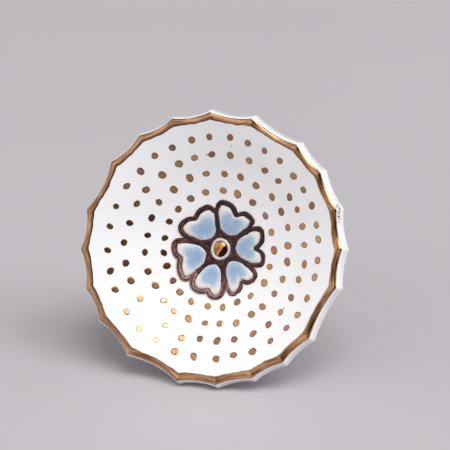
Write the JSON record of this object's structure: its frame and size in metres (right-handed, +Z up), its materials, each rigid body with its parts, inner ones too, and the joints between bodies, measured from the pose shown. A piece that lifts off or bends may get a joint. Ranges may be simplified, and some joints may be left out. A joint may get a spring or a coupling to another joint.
{
  "type": "porcelain rosette knob",
  "caption": "Fluted porcelain rosette knob with a gilded rim, gilt spots and an enamelled flower, on a threaded stud with collar, washer and nut.",
  "frame": {"origin": "on the surface that the knob stands on, under the middle of what it covers", "axes": "+Z up; the face looks towards -Y and leans back, the stud points down and back towards +Y; +X to the right as one looks at the face"},
  "size_m": [0.0514, 0.0582, 0.0466],
  "materials": {
    "porcelain": "white gloss glaze",
    "gilding": "hand-painted gilt, slightly worn",
    "dark_enamel": "raised dark brown enamel line",
    "blue_enamel": "glossy pale blue enamel, white at the edges",
    "white_enamel": "glossy white enamel",
    "cement": "set plaster cement",
    "steel": "zinc plated",
    "brass": "turned, lightly tarnished"
  },
  "bodies": {
    "knob": {"porcelain_rosette": "porcelain", "rim_gilding": "gilding", "gilt_spots_ring_1": "gilding", "gilt_spots_ring_2": "gilding", "gilt_spots_ring_3": "gilding", "gilt_spots_ring_4": "gilding", "flower_outline": "dark_enamel", "petal_1": "blue_enamel", "petal_2": "blue_enamel", "petal_3": "blue_enamel", "petal_4": "blue_enamel", "petal_5": "blue_enamel", "petal_6": "blue_enamel", "centre_ring": "white_enamel", "centre_bead": "gilding", "stud_cement": "cement", "threaded_stud": "steel", "base_collar": "brass"},
    "washer": {"flat_washer": "steel"},
    "nut": {"hex_nut": "steel"}
  },
  "joints": [
    {"name": "washer_slide", "type": "slide", "parent": "knob", "child": "washer", "axis": [0, -0.9002, 0.4354], "range_m": [-0.0042, 0.0168]},
    {"name": "nut_spin", "type": "hinge", "parent": "washer", "child": "nut", "pos_m": [-0.00002, 0.01978, 0.00581], "axis": [0, -0.9002, 0.4354], "range_deg": [-2160, 8640]}
  ],
  "couplings": [
    {"joint": "nut_spin", "follows": "washer_slide", "rad_per_m": 8976}
  ]
}
